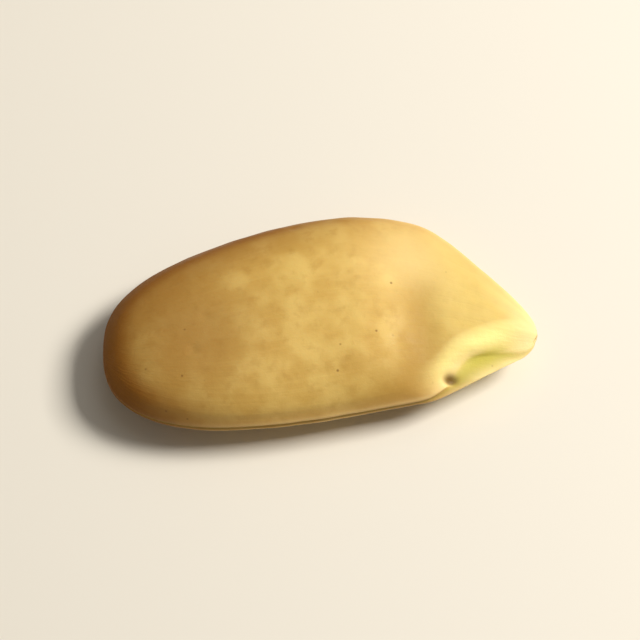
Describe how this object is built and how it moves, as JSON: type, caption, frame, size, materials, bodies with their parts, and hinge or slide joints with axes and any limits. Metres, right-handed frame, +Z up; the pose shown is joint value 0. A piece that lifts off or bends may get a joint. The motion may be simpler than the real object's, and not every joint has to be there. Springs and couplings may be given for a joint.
{
  "type": "melon seed",
  "caption": "Whole dry melon seed: a flattened teardrop with a plump kernel bulge, a wedge-shaped beak and a seam round its margin, lying on its broad face.",
  "frame": {"origin": "centre of the bounding box, at the bottom, on the surface that the seed lies on", "axes": "+X along the length, towards the beak; +Y towards the side that bulges more; +Z up, out of the upper broad face"},
  "size_m": [0.0104, 0.0054, 0.0019],
  "materials": {
    "seed_coat": "satin, smooth dry seed coat, paler at the beak and along the margin"
  },
  "bodies": {
    "root": {"seed": "seed_coat"}
  },
  "joints": []
}
